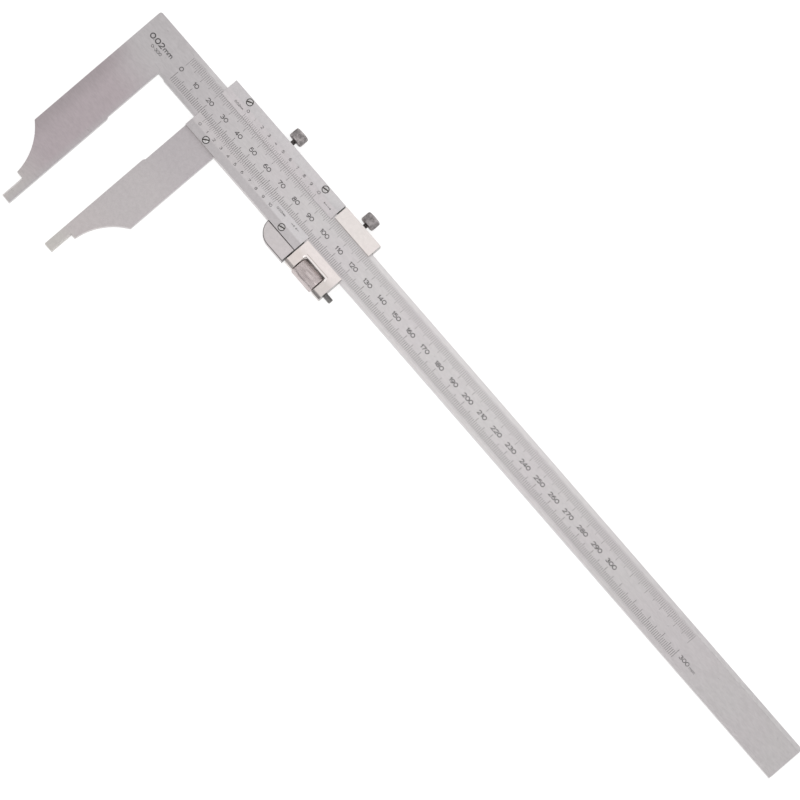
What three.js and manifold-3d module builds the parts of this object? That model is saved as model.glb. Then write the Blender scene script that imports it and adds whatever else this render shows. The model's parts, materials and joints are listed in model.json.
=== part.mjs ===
// A long-jaw vernier caliper, 0-300 mm by 0.02 mm, with nib jaws, two vernier plates and a
// fine-adjustment carriage. It lies on its back with its scales up, its jaws open 24.8 mm.
//
// Millimetres. X runs along the beam, Y across it with the jaws towards -Y, and Z up out of the
// scale face. In the drawing coordinates used below, X = 0 is the fixed jaw's measuring face, Y = 0
// is the beam's centreline and Z = 0 is the slider's back. The last lines shift the drawing so that
// the object's origin is the middle of its footprint.

import * as THREE from 'three';
import { mergeVertices } from 'three/addons/utils/BufferGeometryUtils.js';
import Module from 'manifold-3d';

const wasm = await Module();
wasm.setup();

// ---------------------------------------------------------------- driving dimensions

const OPENING = 24.8; // between the measuring faces, as drawn
const RUNNING_GAP = 0.1; // between faces that slide or lie on each other
const ROUND_STEPS = 32; // sides of the larger turned pieces
const SMALL_STEPS = 20; // sides of small screws and holes
const CORNER_STEPS = 5; // sides of the window's rounded corners

const BACK_WALL = 2.0; // thickness of the slider's back
const BEAM = { left: -21.4, right: 425.8, halfWidth: 10, thickness: 5, corner: 1.2 };
BEAM.back = BACK_WALL + RUNNING_GAP;
BEAM.front = BEAM.back + BEAM.thickness;

// The graduated strip lies this little below the two polished bands that the slider runs on.
const GRADUATED = { left: -4, low: -8.3, high: 7.9, depth: 0.1 };
const ROOT_RELIEF = { end: 2.7, ramp: 0.8, depth: 0.43 }; // grinding relief under the beam, by the jaw

const JAW = {
  depth: 90, // from the beam's lower edge to the jaw tips
  relief: 0.7, // the upper part of each inner face stands back this far
  reliefEnd: -39.8,
  faceStart: -41,
  hollowRadius: 30.2,
  nibTop: -88,
};
JAW.tip = -BEAM.halfWidth - JAW.depth;
// The blade's width, where its hollow starts, and how far in from the outer edge the hollow ends.
const FIXED_BLADE = { width: 21.4, corner: -66.4, shoulder: 13 };
const SLIDING_BLADE = { width: 20.3, corner: -65.8, shoulder: 13.2 };
const NIB = { width: 5, faceRadius: 4 }; // two nibs make 10 mm; the outer faces are parts of cylinders

const SLIDER = { left: 25.3, right: 101.6, low: -15.65, high: 15.25, topRail: 10.6, bottomRail: -10.1 };
const PLATE = { thickness: 2, edge: 0.3, upperEdge: 6.2, upperFlat: 10.6, lowerEdge: -6.8, lowerFlat: -11.6 };
PLATE.back = BEAM.front + RUNNING_GAP;
PLATE.front = PLATE.back + PLATE.thickness;
const THUMB_REST = { left: 83.4, low: -23.5, radius: 8, front: 8.9 };

const PLATE_SCREW = { left: 37, right: 89.9, upper: 13.14, lower: -13.4, shank: 0.9, hole: 1.15, tapDepth: 4 };
PLATE_SCREW.head = { radius: 1.8, rim: 0.35, rise: 0.9, slotWidth: 0.5, slotDepth: 0.42 };

const RAIL_SCREW_Z = 4.6; // height of the screws that run across the top rails
const GIB = { end: 1.7, thickness: 0.4, margin: 0.3 };
const GIB_PRESS = { left: 47, right: 81, radius: 1.25, length: 3.85 };
const GIB_SET = { left: 31, right: 97, radius: 0.9, length: 4.1 };
const SCREW_CLEARANCE = 0.2; // all round a screw in its hole

const CLAMP = { slider: 63.5, carriage: 114.1, shank: 1.1, tip: 0.05, corner: 1 };
const SLIDER_KNOB = { radius: 3.9, low: 17.2, high: 22.6 };
const CARRIAGE_KNOB = { radius: 3.9, low: 16.8, high: 22.2 };

const CARRIAGE = { left: 102.3, right: 126.05, low: -22.25, high: 15.25, back: 0.3, front: 9.4 };
CARRIAGE.lowerLip = -8.25;
CARRIAGE.upperLip = 7.9;
CARRIAGE.chamfer = 1.4;
const WINDOW = { left: 107.3, right: 121, top: -13.7, corner: 0.7, lip: 0.9, lipDepth: 0.25, lipFoot: -15 };

const FEED = { y: -18.5, z: 5.05, radius: 1.425, left: 90, right: 130.4, bore: 1.6 };
const NUT = { left: 107.7, right: 120.6, radius: 4.7, chamfer: 0.4 };
const PIN = { x: 95, radius: 0.6, hole: 0.8, top: 7.6 };

// ---------------------------------------------------------------- solids and outlines

const SPILL = 1; // how far a cutting shape runs past the face it opens

function solid(geometry) {
  const plain = new THREE.BufferGeometry();
  plain.setAttribute('position', geometry.attributes.position);
  plain.setIndex(geometry.index);
  const merged = mergeVertices(plain, 1e-4);
  return new wasm.Manifold(new wasm.Mesh({
    numProp: 3,
    vertProperties: Float32Array.from(merged.attributes.position.array),
    triVerts: Uint32Array.from(merged.index.array),
  }));
}

function geometryOf(body) {
  const mesh = body.getMesh();
  const geometry = new THREE.BufferGeometry();
  geometry.setAttribute('position', new THREE.BufferAttribute(Float32Array.from(mesh.vertProperties), 3));
  geometry.setIndex(new THREE.BufferAttribute(Uint32Array.from(mesh.triVerts), 1));
  geometry.computeVertexNormals();
  return geometry;
}

function block([x0, x1], [y0, y1], [z0, z1]) {
  const box = new THREE.BoxGeometry(x1 - x0, y1 - y0, z1 - z0);
  return solid(box.translate((x0 + x1) / 2, (y0 + y1) / 2, (z0 + z1) / 2));
}

// A flat outline in X and Y, given thickness from z0 up to z1.
function slab(points, z0, z1) {
  const geometry = new THREE.ExtrudeGeometry(new THREE.Shape(points), { depth: z1 - z0, bevelEnabled: false });
  return solid(geometry.translate(0, 0, z0));
}

// A section in Y and Z, drawn out along X from x0 to x1.
function barAlongX(section, x0, x1) {
  const geometry = new THREE.ExtrudeGeometry(new THREE.Shape(section), { depth: x1 - x0, bevelEnabled: false });
  geometry.applyMatrix4(new THREE.Matrix4().makeBasis(
    new THREE.Vector3(0, 1, 0),
    new THREE.Vector3(0, 0, 1),
    new THREE.Vector3(1, 0, 0),
  ));
  return solid(geometry.translate(x0, 0, 0));
}

// A section in Z and X, drawn out along Y from y0 to y1.
function barAlongY(section, y0, y1) {
  const geometry = new THREE.ExtrudeGeometry(new THREE.Shape(section), { depth: y1 - y0, bevelEnabled: false });
  geometry.applyMatrix4(new THREE.Matrix4().makeBasis(
    new THREE.Vector3(0, 0, 1),
    new THREE.Vector3(1, 0, 0),
    new THREE.Vector3(0, 1, 0),
  ));
  return solid(geometry.translate(0, y0, 0));
}

const points = (...pairs) => pairs.map(([a, b]) => new THREE.Vector2(a, b));

function arc(centre, radius, from, to, steps) {
  return Array.from({ length: steps + 1 }, (_, i) => {
    const angle = from + (to - from) * i / steps;
    return new THREE.Vector2(centre.x + radius * Math.cos(angle), centre.y + radius * Math.sin(angle));
  });
}

// The arc of this radius from a to b that turns anticlockwise about its centre.
function arcBetween(a, b, radius, steps) {
  const half = b.clone().sub(a).multiplyScalar(0.5);
  const sagging = Math.sqrt(radius * radius - half.lengthSq()) / half.length();
  const centre = a.clone().add(half).add(new THREE.Vector2(-half.y, half.x).multiplyScalar(sagging));
  const angleOf = (p) => Math.atan2(p.y - centre.y, p.x - centre.x);
  return arc(centre, radius, angleOf(a), angleOf(b), steps);
}

// A turned piece. Its profile is (radius, distance along the axis), from low to high.
function turnedY(profile, steps, x, z) {
  return solid(new THREE.LatheGeometry(profile, steps).translate(x, 0, z));
}

function turnedX(profile, steps, y, z) {
  return solid(new THREE.LatheGeometry(profile, steps).rotateZ(-Math.PI / 2).translate(0, y, z));
}

function turnedZ(profile, steps, x, y) {
  return solid(new THREE.LatheGeometry(profile, steps).rotateX(Math.PI / 2).translate(x, y, 0));
}

const rodProfile = (radius, low, high, chamfer = 0) => points(
  [0, low], [radius - chamfer, low], [radius, low + chamfer],
  [radius, high - chamfer], [radius - chamfer, high], [0, high],
).filter((p, i, all) => i === 0 || p.distanceTo(all[i - 1]) > 1e-6);

const holeX = (radius, x0, x1, y, z) => turnedX(rodProfile(radius, x0, x1), SMALL_STEPS, y, z);
const holeY = (radius, y0, y1, x, z) => turnedY(rodProfile(radius, y0, y1), SMALL_STEPS, x, z);
const holeZ = (radius, z0, z1, x, y) => turnedZ(rodProfile(radius, z0, z1), SMALL_STEPS, x, y);

// ---------------------------------------------------------------- the two jaws

// One jaw's blade down to the top of its nib. Here x is the distance from the measuring face into
// the blade, and the outline starts and ends at the height rootY.
function bladeOutline({ width, corner, shoulder }, rootY) {
  const hollowStart = new THREE.Vector2(width, corner);
  const hollowEnd = new THREE.Vector2(width - shoulder, JAW.nibTop);
  return [
    ...points([JAW.relief, rootY], [JAW.relief, JAW.reliefEnd], [0, JAW.faceStart], [0, JAW.nibTop]),
    ...arcBetween(hollowStart, hollowEnd, JAW.hollowRadius, 20).reverse(),
    ...points([width, rootY]),
  ];
}

// One nib: its inner side continues the measuring face, its outer face is part of a cylinder.
function nib(faceX, side) {
  const half = BEAM.thickness / 2;
  const bulge = NIB.faceRadius - Math.sqrt(NIB.faceRadius ** 2 - half ** 2);
  const spread = Math.asin(half / NIB.faceRadius);
  const centre = new THREE.Vector2(BEAM.back + half, NIB.width - NIB.faceRadius);
  const face = arc(centre, NIB.faceRadius, Math.PI / 2 + spread, Math.PI / 2 - spread, 10);
  const section = [
    ...points([BEAM.back, 0], [BEAM.back, NIB.width - bulge]),
    ...face.slice(1, -1),
    ...points([BEAM.front, NIB.width - bulge], [BEAM.front, 0]),
  ];
  const placed = section.map((p) => new THREE.Vector2(p.x, faceX + side * p.y));
  return barAlongY(placed, JAW.tip, JAW.nibTop + SPILL);
}

// ---------------------------------------------------------------- beam and slider

function mainBeam() {
  const { left, right, halfWidth, back, front, corner } = BEAM;
  const blade = bladeOutline(FIXED_BLADE, ROOT_RELIEF.depth - halfWidth).map((p) => new THREE.Vector2(-p.x, p.y));
  const rootY = blade[0].y;
  const cornerCentre = new THREE.Vector2(left + corner, halfWidth - corner);
  const outline = [
    ...arc(cornerCentre, corner, Math.PI, Math.PI / 2, 4),
    ...points([right, halfWidth], [right, -halfWidth]),
    ...points([ROOT_RELIEF.end + ROOT_RELIEF.ramp, -halfWidth], [ROOT_RELIEF.end, rootY]),
    ...blade.slice(0, -1),
  ];
  const recess = block(
    [GRADUATED.left, right + SPILL],
    [GRADUATED.low, GRADUATED.high],
    [front - GRADUATED.depth, front + SPILL],
  );
  return slab(outline, back, front).add(nib(0, -1)).subtract(recess);
}

function thumbRest() {
  const { left, low, radius, front } = THUMB_REST;
  const root = SLIDER.low + SPILL;
  const outline = [
    ...points([left, root]),
    ...arc(new THREE.Vector2(left + radius, low + radius), radius, Math.PI, Math.PI * 1.5, 12),
    ...points([SLIDER.right, low], [SLIDER.right, root]),
  ];
  const underPlate = block(
    [left - SPILL, SLIDER.right + SPILL],
    [SLIDER.low - RUNNING_GAP, root + SPILL],
    [BEAM.front, front + SPILL],
  );
  return slab(outline, 0, front).subtract(underPlate);
}

function slidingJaw() {
  const blade = bladeOutline(SLIDING_BLADE, SLIDER.bottomRail).map((p) => new THREE.Vector2(OPENING + p.x, p.y));
  return slab(blade, BEAM.back, BEAM.front).add(nib(OPENING, 1));
}

const plateScrewPlaces = {
  upper_left_plate_screw: [PLATE_SCREW.left, PLATE_SCREW.upper],
  upper_right_plate_screw: [PLATE_SCREW.right, PLATE_SCREW.upper],
  lower_left_plate_screw: [PLATE_SCREW.left, PLATE_SCREW.lower],
  lower_right_plate_screw: [PLATE_SCREW.right, PLATE_SCREW.lower],
};

function sliderBody() {
  const { left, right, low, high, topRail, bottomRail } = SLIDER;
  let body = block([left, right], [low, high], [0, BACK_WALL])
    .add(block([left, right], [topRail, high], [0, BEAM.front]))
    .add(block([left, right], [low, bottomRail], [0, BEAM.front]))
    .add(thumbRest())
    .add(slidingJaw());
  for (const [x, y] of Object.values(plateScrewPlaces)) {
    body = body.subtract(holeZ(PLATE_SCREW.hole, BEAM.front - PLATE_SCREW.tapDepth, BEAM.front + SPILL, x, y));
  }
  const railHole = (radius, x) => holeY(radius + SCREW_CLEARANCE, topRail - SPILL, high + SPILL, x, RAIL_SCREW_Z);
  body = body.subtract(railHole(CLAMP.shank, CLAMP.slider));
  for (const x of [GIB_PRESS.left, GIB_PRESS.right]) {
    body = body.subtract(railHole(GIB_PRESS.radius, x));
  }
  for (const x of [GIB_SET.left, GIB_SET.right]) {
    body = body.subtract(railHole(GIB_SET.radius, x));
  }
  return body
    .subtract(holeX(FEED.bore, FEED.left - SPILL, right + SPILL, FEED.y, FEED.z))
    .subtract(holeZ(PIN.hole, -SPILL, PIN.top + RUNNING_GAP, PIN.x, FEED.y));
}

// ---------------------------------------------------------------- vernier plates and their screws

// A plate's section: flat where its screws sit, then bevelled down to a thin graduated edge.
function vernierPlate(edge, flat, outer, screwY) {
  const section = points(
    [edge, PLATE.back], [outer, PLATE.back], [outer, PLATE.front],
    [flat, PLATE.front], [edge, PLATE.back + PLATE.edge],
  );
  let plate = barAlongX(section, SLIDER.left, SLIDER.right);
  for (const x of [PLATE_SCREW.left, PLATE_SCREW.right]) {
    plate = plate.subtract(holeZ(PLATE_SCREW.hole, PLATE.back - SPILL, PLATE.front + SPILL, x, screwY));
  }
  return plate;
}

const upperPlate = () => vernierPlate(PLATE.upperEdge, PLATE.upperFlat, SLIDER.high, PLATE_SCREW.upper);
const lowerPlate = () => vernierPlate(PLATE.lowerEdge, PLATE.lowerFlat, SLIDER.low, PLATE_SCREW.lower);

function plateScrew([x, y]) {
  const { radius, rim, rise, slotWidth, slotDepth } = PLATE_SCREW.head;
  const seat = PLATE.front + RUNNING_GAP / 2;
  const foot = BEAM.front - PLATE_SCREW.tapDepth + SCREW_CLEARANCE;
  const crown = rise - rim;
  const domeRadius = (radius ** 2 + crown ** 2) / (2 * crown);
  const centre = new THREE.Vector2(0, seat + rise - domeRadius);
  const dome = arc(centre, domeRadius, Math.acos(radius / domeRadius), Math.PI / 2, 6);
  const profile = [
    ...points([0, foot], [PLATE_SCREW.shank, foot], [PLATE_SCREW.shank, seat], [radius, seat]),
    ...dome.slice(0, -1),
    ...points([0, seat + rise]),
  ];
  const top = seat + rise;
  const slot = block([x - radius, x + radius], [y - slotWidth / 2, y + slotWidth / 2], [top - slotDepth, top + SPILL]);
  return turnedZ(profile, SMALL_STEPS, x, y).subtract(slot);
}

// ---------------------------------------------------------------- gibs and the screws across the rails

function gibStrip(left, right) {
  const low = BEAM.halfWidth + RUNNING_GAP;
  return block([left, right], [low, low + GIB.thickness], [BEAM.back + GIB.margin, BEAM.front - GIB.margin]);
}

function headlessScrew(x, { radius, length }) {
  const low = SLIDER.topRail - CLAMP.tip;
  const high = low + length;
  const slot = block(
    [x - radius - SPILL, x + radius + SPILL],
    [high - radius / 2, high + SPILL],
    [RAIL_SCREW_Z - radius / 5, RAIL_SCREW_Z + radius / 5],
  );
  return turnedY(rodProfile(radius, low, high, radius / 5), SMALL_STEPS, x, RAIL_SCREW_Z).subtract(slot);
}

function thumbScrew(x, { radius, low, high }) {
  const tip = SLIDER.topRail - CLAMP.tip;
  const roundTo = radius - CLAMP.corner;
  const lowerRound = arc(new THREE.Vector2(roundTo, low + CLAMP.corner), CLAMP.corner, -Math.PI / 2, 0, 4);
  const upperRound = arc(new THREE.Vector2(roundTo, high - CLAMP.corner), CLAMP.corner, 0, Math.PI / 2, 4);
  const profile = [
    ...points([0, tip], [CLAMP.shank, tip], [CLAMP.shank, low]),
    ...lowerRound,
    ...upperRound,
    ...points([0, high]),
  ];
  return turnedY(profile, ROUND_STEPS, x, RAIL_SCREW_Z);
}

// ---------------------------------------------------------------- fine adjustment

// The window's outline grown outwards by this much. Its two upper corners are rounded.
function windowOutline(grow) {
  const left = WINDOW.left - grow;
  const right = WINDOW.right + grow;
  const corner = WINDOW.corner + grow;
  const cornerY = WINDOW.top + grow - corner;
  return [
    ...points([left, CARRIAGE.low - SPILL], [right, CARRIAGE.low - SPILL]),
    ...arc({ x: right - corner, y: cornerY }, corner, 0, Math.PI / 2, CORNER_STEPS),
    ...arc({ x: left + corner, y: cornerY }, corner, Math.PI / 2, Math.PI, CORNER_STEPS),
  ];
}

// The shallow bevel round the upper half of the window's front edge.
function windowLip() {
  const { left, right, front } = CARRIAGE;
  const narrow = slab(windowOutline(0), front - WINDOW.lipDepth, front);
  const wide = slab(windowOutline(WINDOW.lip), front, front + SPILL);
  return wasm.Manifold.hull([narrow, wide])
    .intersect(block([left, right], [WINDOW.lipFoot, 0], [0, front + SPILL]));
}

// A block with a channel for the beam. Its two front lips hold the beam in, and its foot holds the nut.
function fineAdjustCarriage() {
  const { left, right, low, high, back, front, lowerLip, upperLip, chamfer } = CARRIAGE;
  const channelBack = BEAM.back - RUNNING_GAP;
  const channelFront = BEAM.front + RUNNING_GAP;
  const section = points(
    [low, back], [high, back], [high, front], [upperLip, front], [upperLip, channelFront],
    [SLIDER.topRail, channelFront], [SLIDER.topRail, channelBack],
    [SLIDER.bottomRail, channelBack], [SLIDER.bottomRail, channelFront],
    [lowerLip, channelFront], [lowerLip, front], [low + chamfer, front], [low, front - chamfer],
  );
  return barAlongX(section, left, right)
    .subtract(slab(windowOutline(0), back - SPILL, front + SPILL))
    .subtract(windowLip())
    .subtract(holeX(FEED.bore, left - SPILL, right + SPILL, FEED.y, FEED.z))
    .subtract(holeY(CLAMP.shank + SCREW_CLEARANCE, SLIDER.topRail - SPILL, high + SPILL, CLAMP.carriage, RAIL_SCREW_Z));
}

function feedNut() {
  const { left, right, radius, chamfer } = NUT;
  const profile = points(
    [FEED.bore, left], [radius - chamfer, left], [radius, left + chamfer],
    [radius, right - chamfer], [radius - chamfer, right], [FEED.bore, right], [FEED.bore, left],
  );
  return turnedX(profile, ROUND_STEPS, FEED.y, FEED.z);
}

function feedScrew() {
  const rod = turnedX(rodProfile(FEED.radius, FEED.left, FEED.right, 0.3), ROUND_STEPS, FEED.y, FEED.z);
  return rod.subtract(holeZ(PIN.hole, -SPILL, PIN.top + SPILL, PIN.x, FEED.y));
}

const feedScrewPin = () => turnedZ(rodProfile(PIN.radius, RUNNING_GAP, PIN.top, 0.1), SMALL_STEPS, PIN.x, FEED.y);

// ---------------------------------------------------------------- materials

const metal = (color, roughness) => new THREE.MeshStandardMaterial({ color, roughness, metalness: 1 });
const groundSteel = () => metal(0xbdb7b8, 0.42);
const satinChrome = () => metal(0xc9c5c5, 0.5);
const brightSatin = () => metal(0xe6ded9, 0.38);
const knurledSteel = () => metal(0xb6aeac, 0.45);
const darkSteel = () => metal(0x7f7a78, 0.5);
const blackenedSteel = () => metal(0x4a4645, 0.55);
const brightSteel = () => metal(0xd8d4d2, 0.2);
const bronze = () => metal(0xb08a55, 0.4);

// ---------------------------------------------------------------- the whole caliper

const caliper = new THREE.Group();

function addPiece(name, body, material) {
  const mesh = new THREE.Mesh(geometryOf(body), material);
  mesh.name = name;
  caliper.add(mesh);
}

addPiece('main_beam', mainBeam(), groundSteel());
addPiece('slider_body', sliderBody(), satinChrome());
addPiece('upper_vernier_plate', upperPlate(), satinChrome());
addPiece('lower_vernier_plate', lowerPlate(), satinChrome());
for (const [name, place] of Object.entries(plateScrewPlaces)) {
  addPiece(name, plateScrew(place), brightSteel());
}
addPiece('slider_gib', gibStrip(SLIDER.left + GIB.end, SLIDER.right - GIB.end), bronze());
addPiece('left_gib_pressing_screw', headlessScrew(GIB_PRESS.left, GIB_PRESS), blackenedSteel());
addPiece('right_gib_pressing_screw', headlessScrew(GIB_PRESS.right, GIB_PRESS), blackenedSteel());
addPiece('left_gib_setting_screw', headlessScrew(GIB_SET.left, GIB_SET), blackenedSteel());
addPiece('right_gib_setting_screw', headlessScrew(GIB_SET.right, GIB_SET), blackenedSteel());
addPiece('slider_clamp_screw', thumbScrew(CLAMP.slider, SLIDER_KNOB), darkSteel());
addPiece('fine_adjust_carriage', fineAdjustCarriage(), brightSatin());
addPiece('carriage_gib', gibStrip(CARRIAGE.left + GIB.end, CARRIAGE.right - GIB.end), bronze());
addPiece('carriage_clamp_screw', thumbScrew(CLAMP.carriage, CARRIAGE_KNOB), darkSteel());
addPiece('feed_screw', feedScrew(), blackenedSteel());
addPiece('feed_nut', feedNut(), knurledSteel());
addPiece('feed_screw_pin', feedScrewPin(), blackenedSteel());

const footprintMiddle = new THREE.Vector2((BEAM.left + BEAM.right) / 2, (JAW.tip + SLIDER_KNOB.high) / 2);
caliper.position.set(-footprintMiddle.x, -footprintMiddle.y, 0);

export default caliper;
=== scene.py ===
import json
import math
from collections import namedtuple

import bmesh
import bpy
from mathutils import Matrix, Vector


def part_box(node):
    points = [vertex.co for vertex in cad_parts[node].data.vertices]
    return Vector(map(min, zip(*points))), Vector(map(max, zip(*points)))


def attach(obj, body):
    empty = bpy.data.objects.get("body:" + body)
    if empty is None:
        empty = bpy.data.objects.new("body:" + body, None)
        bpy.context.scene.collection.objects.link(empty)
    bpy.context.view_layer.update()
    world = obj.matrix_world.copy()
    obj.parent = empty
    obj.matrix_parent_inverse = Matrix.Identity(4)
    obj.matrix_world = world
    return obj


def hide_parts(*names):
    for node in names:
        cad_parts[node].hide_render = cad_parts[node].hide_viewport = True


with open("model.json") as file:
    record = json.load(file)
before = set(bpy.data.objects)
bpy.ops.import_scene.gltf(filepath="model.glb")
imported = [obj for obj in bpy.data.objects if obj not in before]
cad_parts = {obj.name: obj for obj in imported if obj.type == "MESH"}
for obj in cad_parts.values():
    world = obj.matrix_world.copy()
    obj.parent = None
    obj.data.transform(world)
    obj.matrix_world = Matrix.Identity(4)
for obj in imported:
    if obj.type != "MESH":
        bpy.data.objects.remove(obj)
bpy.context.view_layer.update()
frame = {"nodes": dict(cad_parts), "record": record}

# The looks of a long-jaw vernier caliper: machined pieces with eased edges, knurls, threads,
# graduations and procedural metals, under soft studio light.
#
# Sizes are in millimetres and are turned into metres where a mesh is made. X, Y and Z below are
# drawing coordinates: X = 0 is the fixed jaw's measuring face, Y = 0 is the beam's centreline and
# Z = 0 is the slider's back. The frame says where that point lies.

# ---------------------------------------------------------------- places taken from the frame

MM = 0.001
BEAM_HALF_WIDTH = 10.0
mounts = {mount["name"]: mount["pos_m"] for mount in frame["record"]["mounts"]}
drawing_origin = Vector((
    mounts["fixed_jaw_measuring_face"][0],
    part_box("main_beam")[1].y - BEAM_HALF_WIDTH * MM,
    0.0,
))


def row_point(x, y, z):
    """A point of the drawing, in the row frame in metres."""
    return drawing_origin + Vector((x, y, z)) * MM


def drawing_point(place):
    """A place in the row frame, in the drawing's millimetres."""
    return (place - drawing_origin) / MM


def drawing_box(node):
    """A CAD node's lowest and highest corners, in the drawing's millimetres."""
    low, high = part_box(node)
    return drawing_point(low), drawing_point(high)


BEAM_FRONT = drawing_box("main_beam")[1].z
SLIDER_END = drawing_box("slider_body")[1].x
CARRIAGE_END = drawing_box("fine_adjust_carriage")[1].x
CARRIAGE_FRONT = drawing_box("fine_adjust_carriage")[1].z
OPENING = (mounts["sliding_jaw_measuring_face"][0] - mounts["fixed_jaw_measuring_face"][0]) / MM

# ---------------------------------------------------------------- driving dimensions

# The graduated strip of the beam, between the two polished bands that the slider runs on.
STRIP = {"left": -4.0, "low": -8.3, "high": 7.9, "depth": 0.1}

# A narrow rounded strip of this width eases a piece's sharp edges, where the faces leave room.
EASED_EDGE = {
    "main_beam": 0.14,
    "slider_body": 0.2,
    "upper_vernier_plate": 0.08,
    "lower_vernier_plate": 0.08,
    "fine_adjust_carriage": 0.18,
}
EASED_FROM = 25.0  # degrees between two faces, from which their edge is eased
CREASED_FROM = 35.0  # and from which it stays sharp when the faces are smoothed
EASED_SEGMENTS = 3
ROOM_BESIDE = 3  # each face has to be this many times as wide as the strip
CLOSE = 0.05  # a corner this near to a place counts as lying there
SAME_CORNER = 0.001  # corners this near to each other are merged
SAME_PLANE = 0.5  # faces within this many degrees of each other are joined

# The thumb rest's front edge is rounded more, and is painted dark as shade.
REST = {"left": 83.0, "right": 101.5, "top": -15.66, "front": 8.9, "rounding": 0.55, "segments": 5}

# The carriage's window has a shallow lip round its top and down to the lip's foot.
WINDOW = {"left": 107.3, "right": 121.0, "top": -13.7, "lip": 0.9, "lip_depth": 0.25, "lip_foot": -15.0}
LIP_TOP = WINDOW["top"] + WINDOW["lip"]
LIP_SLOPE = math.degrees(math.atan2(WINDOW["lip_depth"], WINDOW["lip"]))
LIP_CREASED_FROM = LIP_SLOPE - 2.0

# Graduations. Every zero line lies this far to the right of its jaw's measuring face.
ZERO_OFFSET = 4.8
NIBS_TOGETHER = 10.0
SCALE = {"last": 350, "last_numeral": 300, "upper": 7.35, "lower": -7.55}
SCALE_LINE = {"upper": 0.13, "lower": 0.19}
SCALE_TICK = {"one": 3.2, "five": 4.4, "ten": 5.1}
NUMERAL = {"height": 1.8, "y": -0.33, "stroke": 0.36}
VERNIER = {"divisions": 50, "step": 0.98, "line": 0.13, "inset": 0.06, "short": 1.6, "long": 2.3}
VERNIER_NUMERAL = {"height": 1.2, "from_edge": 3.75, "stroke": 0.22}
PLATE_EDGE = 0.3
BEVEL_RUN = {"upper_vernier_plate": 4.4, "lower_vernier_plate": 4.8}
INK_PROUD = 0.012
INK_DEEP = 0.03

# Words and arrows, each placed by its middle. An arrow heads +1 to the right or -1 to the left.
Mark = namedtuple("Mark", "words x y height stroke")
RANGE_MARK = (
    Mark("300", ZERO_OFFSET + 355.3, -4.2, 1.7, 0.3),
    Mark("mm", ZERO_OFFSET + 360.9, -4.45, 1.5, 0.18),
)
RESOLUTION_MARK = (
    Mark("0.02", -12.3, -0.1, 2.3, 0.52),
    Mark("mm", -4.7, -0.1, 2.3, 0.36),
    Mark("0-300", -9.3, -3.4, 1.2, 0.24),
)
UPPER_PLATE_MARK = Mark("0.02mm", 34.6, 8.7, 0.9, 0.18)
LOWER_PLATE_MARK = Mark("0.02mm", 84.3, -8.7, 0.9, 0.18)
Arrow = namedtuple("Arrow", "x y heading")
OUTWARD_ARROWS = (Arrow(94.9, 8.8, -1), Arrow(97.3, 8.8, 1))
INWARD_ARROWS = (Arrow(92.4, -8.7, 1), Arrow(95.4, -8.7, -1))
ARROW_SHAPE = {"length": 2.0, "barb": 0.4, "stroke": 0.18}

# Turned pieces. columns and rows are the mesh's own, for one tooth or one turn where so named.
THUMB_HEAD = {"length": 5.4, "corner": 1.0, "corner_steps": 5, "plain_end": 0.6}
THUMB_KNURL = {"teeth": 32, "depth": 0.28, "columns_per_tooth": 4, "rows_per_tooth": 4}
CLAMP_THREAD = {"radius": 1.25, "pitch": 0.45, "depth": 0.14, "chamfer": 0.2, "columns": 20}
NUT = {"chamfer": 0.4, "bore": 1.6, "creased_from": 50.0}
NUT_KNURL = {"teeth": 72, "depth": 0.08, "columns_per_tooth": 8}
FEED_THREAD = {"start": 101.0, "pitch": 0.5, "depth": 0.2, "chamfer": 0.35, "columns": 24}
THREAD_ROWS_PER_TURN = 6
SCREW_HEAD = {"radius": 1.8, "rim": 0.1, "rise": 0.95, "columns": 48, "rows": 12}
SCREW_SLOT = {"width": 0.65, "depth": 0.7, "ease": 0.05, "ease_from": 40.0}
SCREW_SLOT_TURN = {
    "upper_left_plate_screw": 28,
    "upper_right_plate_screw": 12,
    "lower_left_plate_screw": 37,
    "lower_right_plate_screw": 18,
}

# The camera looks down on the scale face, turned about its own axis and leaning a little
# towards the jaw tips. It aims this far from the middle of the object, along the picture's axes.
VIEW = {"roll": 49.18, "tilt": 6.28, "lean_turn": 5.68, "width": 364.8}
AIM = {"up": 22.3, "right": -0.17}
SENSOR = 36.0
LENS = 800.0
CLIP_METRES = (0.1, 100.0)

# The floor glows, and the sky's brightness goes by height, from the horizon at 0 to overhead at 1.
FLOOR = {"radius_metres": 30.0, "below": 0.05, "glow": 0.75, "segments": 64}
SKY_LEVELS = ((0.0, 0.05), (0.12, 0.12), (0.3, 0.8), (0.55, 0.95), (0.78, 0.85), (1.0, 0.62))
SKY_WARMTH = 0.985
SKY_STRENGTH = 1.13

# ---------------------------------------------------------------- materials

# What every machined metal shares. A range is the part of a noise that is stretched to a full swing.
CLOUD = {"per_mm": 0.03, "detail": 2.0}
CLOUD_RANGE = (0.3, 0.7)
FINE = {"per_mm": 2.2, "detail": 5.0}
COARSE = {"per_mm": 0.55, "detail": 2.0}
GRAIN_RANGE = (0.25, 0.75)
SCRATCHES = {"per_mm": 1.3, "detail": 1.0, "stretch": (0.1, 1.0, 1.0)}
SCRATCH_RANGE = (0.7, 0.76)
SPREAD = 0.05  # how far the fine noise moves the roughness either way
SPREAD_RANGE = (0.2, 0.8)
PITS = {"per_mm": 7.0, "detail": 2.0}
PIT_SHARE = 0.5
BUMP_HEIGHT = 0.01
WORN_EDGE = {"reach": 0.18, "share": 0.3, "polish": 0.12}

# How far a rounded normal has turned at an edge, as a cosine, and how shut in a crevice is.
TURN_RANGE = (0.995, 0.9)
OPEN_RANGE = (0.7, 0.2)
GATHER_SAMPLES = 4


def rgb(red, green, blue):
    return (red, green, blue, 1.0)


WORN = rgb(0.75, 0.73, 0.72)
# The colour of painted shade in narrow gaps, grooves and slots.
CREVICE_SHADE = rgb(0.02, 0.018, 0.017)

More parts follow.
